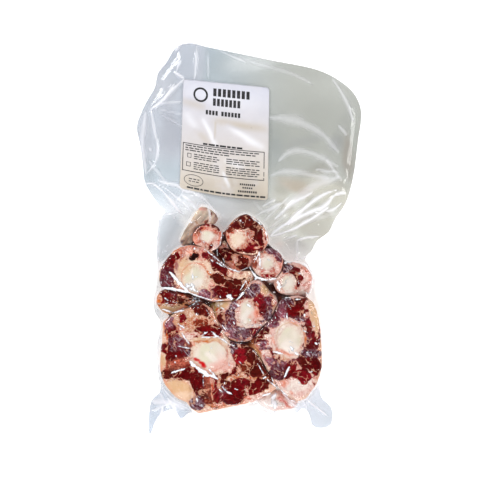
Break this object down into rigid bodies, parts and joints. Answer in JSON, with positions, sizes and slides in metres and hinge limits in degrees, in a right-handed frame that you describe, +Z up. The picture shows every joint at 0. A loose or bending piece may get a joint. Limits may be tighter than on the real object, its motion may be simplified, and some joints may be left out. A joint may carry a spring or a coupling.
{
  "type": "vacuum-packed beef oxtail",
  "caption": "Cross-cut beef oxtail slices with bone centres, sealed under vacuum in a clear pouch whose wide empty end carries a paper label",
  "frame": {"origin": "on the surface the pack lies on, under the middle of the pouch's outline", "axes": "+Z up through the cut faces, +Y along the pouch towards its empty labelled end, +X to the right of the shown view"},
  "size_m": [0.2021, 0.3525, 0.0403],
  "materials": {
    "lean": "wet raw beef with fat seams, glossy under film",
    "fat": "pale beef fat, smooth and moist",
    "tip": "skinned tail tip with tan sinew, moist",
    "bone": "sawn vertebra, ivory cartilage, moist",
    "film": "clear glossy vacuum film, two layers",
    "paper": null
  },
  "bodies": {
    "root": {"slice_1": "lean", "slice_1_bone": "bone", "slice_2": "lean", "slice_2_bone": "bone", "slice_3": "lean", "slice_3_bone": "bone", "slice_4": "lean", "slice_4_bone": "bone", "slice_5": "lean", "slice_5_bone": "bone", "slice_6": "lean", "slice_6_bone": "bone", "slice_7": "lean", "slice_7_bone": "bone", "slice_8": "lean", "slice_8_bone": "bone", "slice_9": "lean", "side_cut": "lean", "tail_tip": "tip", "fat_end": "fat", "pouch": "film", "label": "paper"}
  },
  "joints": []
}
